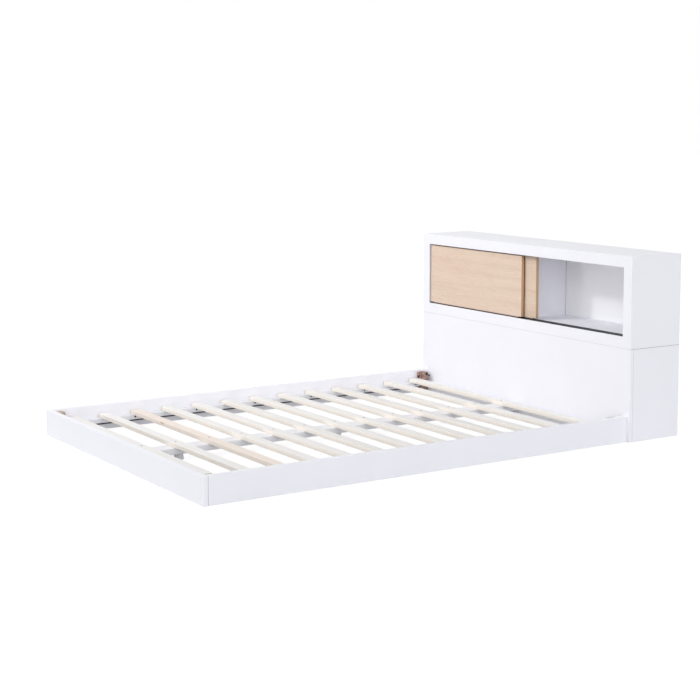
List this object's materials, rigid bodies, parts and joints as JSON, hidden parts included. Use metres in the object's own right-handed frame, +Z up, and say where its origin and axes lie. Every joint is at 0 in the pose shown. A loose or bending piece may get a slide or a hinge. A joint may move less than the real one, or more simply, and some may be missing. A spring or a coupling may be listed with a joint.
{
  "type": "bookcase platform bed",
  "caption": "Low white slatted platform bed with a bookcase headboard whose bays are closed by sliding oak doors.",
  "frame": {"origin": "on the floor, in the middle of the bed's whole outline", "axes": "+Y from the foot to the head, +Z up, +X to the right seen from the foot"},
  "size_m": [1.448, 2.21, 0.762],
  "materials": {
    "white_board": "satin white foil on board",
    "white_backing": "matt white hardboard",
    "white_softwood": "white painted softwood",
    "brown_block": "bare brown hardwood, mottled",
    "pine": "bare planed pine",
    "oak": "satin oak veneer",
    "beech": "bare fluted beech",
    "black_plastic": "satin black plastic",
    "white_plastic": "matt white plastic",
    "zinc_steel": "bright zinc plating",
    "dark_steel": "black oxide",
    "brass": "plain brass"
  },
  "bodies": {
    "bed": {"foot_rail": "white_board", "side_rail_left": "white_board", "side_rail_right": "white_board", "head_rail": "white_board", "headboard_front_panel": "white_board", "headboard_side_left": "white_board", "headboard_side_right": "white_board", "back_rail_upper": "white_board", "back_rail_lower": "white_board", "centre_upright": "white_board", "cabinet_top": "white_board", "cabinet_bottom": "white_board", "cabinet_side_left": "white_board", "cabinet_side_right": "white_board", "cabinet_divider": "white_board", "cabinet_back_panel": "white_backing", "slat_cleat_left": "white_softwood", "slat_cleat_right": "white_softwood", "centre_beam": "white_softwood", "corner_block_foot_left": "brown_block", "corner_block_foot_right": "brown_block", "corner_block_head_left": "brown_block", "corner_block_head_right": "brown_block", "slat_01": "pine", "slat_02": "pine", "slat_03": "pine", "slat_04": "pine", "slat_05": "pine", "slat_06": "pine", "slat_07": "pine", "slat_08": "pine", "slat_09": "pine", "slat_10": "pine", "slat_11": "pine", "slat_12": "pine", "slat_13": "pine", "dowels": "beech", "lower_track": "black_plastic", "upper_track": "black_plastic", "track_end_stops": "black_plastic", "beam_feet": "white_plastic", "beam_hanger_foot": "zinc_steel", "beam_hanger_head": "zinc_steel", "bracket_screws": "zinc_steel", "cam_locks": "zinc_steel", "cam_pins": "zinc_steel", "confirmat_screws": "zinc_steel", "back_panel_screws": "zinc_steel", "angle_brackets": "zinc_steel", "slat_screws": "dark_steel", "cleat_screws": "dark_steel", "block_bolts": "dark_steel", "headboard_bolts": "dark_steel", "insert_nuts": "brass"},
    "front_door": {"sliding_door_front": "oak", "front_door_glides": "black_plastic"},
    "rear_door": {"sliding_door_rear": "oak", "rear_door_glides": "black_plastic"}
  },
  "joints": [
    {"name": "front_door_slide", "type": "slide", "parent": "bed", "child": "front_door", "axis": [1, 0, 0], "range_m": [0, 0.666]},
    {"name": "rear_door_slide", "type": "slide", "parent": "bed", "child": "rear_door", "axis": [1, 0, 0], "range_m": [-0.077, 0.589]}
  ]
}
